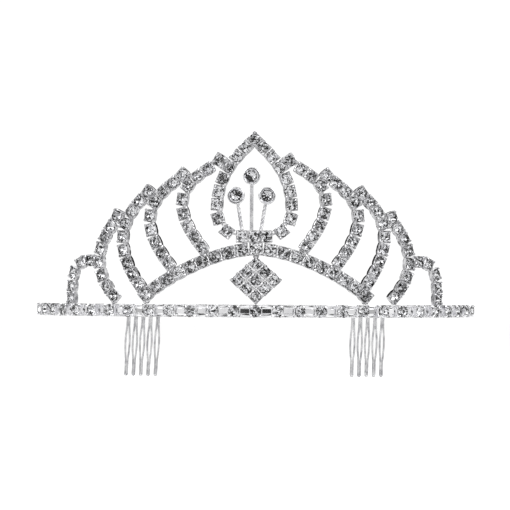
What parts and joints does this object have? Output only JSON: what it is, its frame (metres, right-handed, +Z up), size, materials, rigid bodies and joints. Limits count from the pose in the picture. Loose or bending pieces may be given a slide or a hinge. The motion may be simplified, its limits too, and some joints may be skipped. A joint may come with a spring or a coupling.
{
  "type": "bridal tiara",
  "caption": "Curved headband with claw-set stones carrying a crown of leaning petals, a pointed teardrop, an arch and a diamond, with two wire hair combs behind.",
  "frame": {"origin": "midway between the two ends of the headband, at the height of its lower edge", "axes": "-Y to the front of the head, +Z up, +X to the right as seen from the front"},
  "size_m": [0.1496, 0.0517, 0.0791],
  "materials": {
    "band_plate": "bright silver plate on a polished brass strip",
    "setting_plate": "bright silver plate on pressed brass cups and wire",
    "comb_wire": "bright silver plate on drawn wire",
    "solder": "satin silver solder",
    "rhinestone": "clear faceted glass, foiled behind"
  },
  "bodies": {
    "root": {"headband_strip": "band_plate", "band_chain": "setting_plate", "band_stones": "rhinestone", "arch_chain": "setting_plate", "arch_stones": "rhinestone", "teardrop_chain": "setting_plate", "teardrop_stones": "rhinestone", "petal_1_left_chain": "setting_plate", "petal_1_left_stones": "rhinestone", "petal_1_right_chain": "setting_plate", "petal_1_right_stones": "rhinestone", "petal_2_left_chain": "setting_plate", "petal_2_left_stones": "rhinestone", "petal_2_right_chain": "setting_plate", "petal_2_right_stones": "rhinestone", "petal_3_left_chain": "setting_plate", "petal_3_left_stones": "rhinestone", "petal_3_right_chain": "setting_plate", "petal_3_right_stones": "rhinestone", "petal_4_left_chain": "setting_plate", "petal_4_left_stones": "rhinestone", "petal_4_right_chain": "setting_plate", "petal_4_right_stones": "rhinestone", "petal_5_left_chain": "setting_plate", "petal_5_left_stones": "rhinestone", "petal_5_right_chain": "setting_plate", "petal_5_right_stones": "rhinestone", "diamond_chain": "setting_plate", "diamond_stones": "rhinestone", "stalk_middle": "setting_plate", "stalk_left": "setting_plate", "stalk_right": "setting_plate", "setting_middle": "setting_plate", "setting_left": "setting_plate", "setting_right": "setting_plate", "stalk_stone_middle": "rhinestone", "stalk_stone_left": "rhinestone", "stalk_stone_right": "rhinestone", "comb_left_bar": "comb_wire", "comb_left_wire": "comb_wire", "comb_right_bar": "comb_wire", "comb_right_wire": "comb_wire", "comb_solder": "solder", "crown_solder": "solder"}
  },
  "joints": []
}
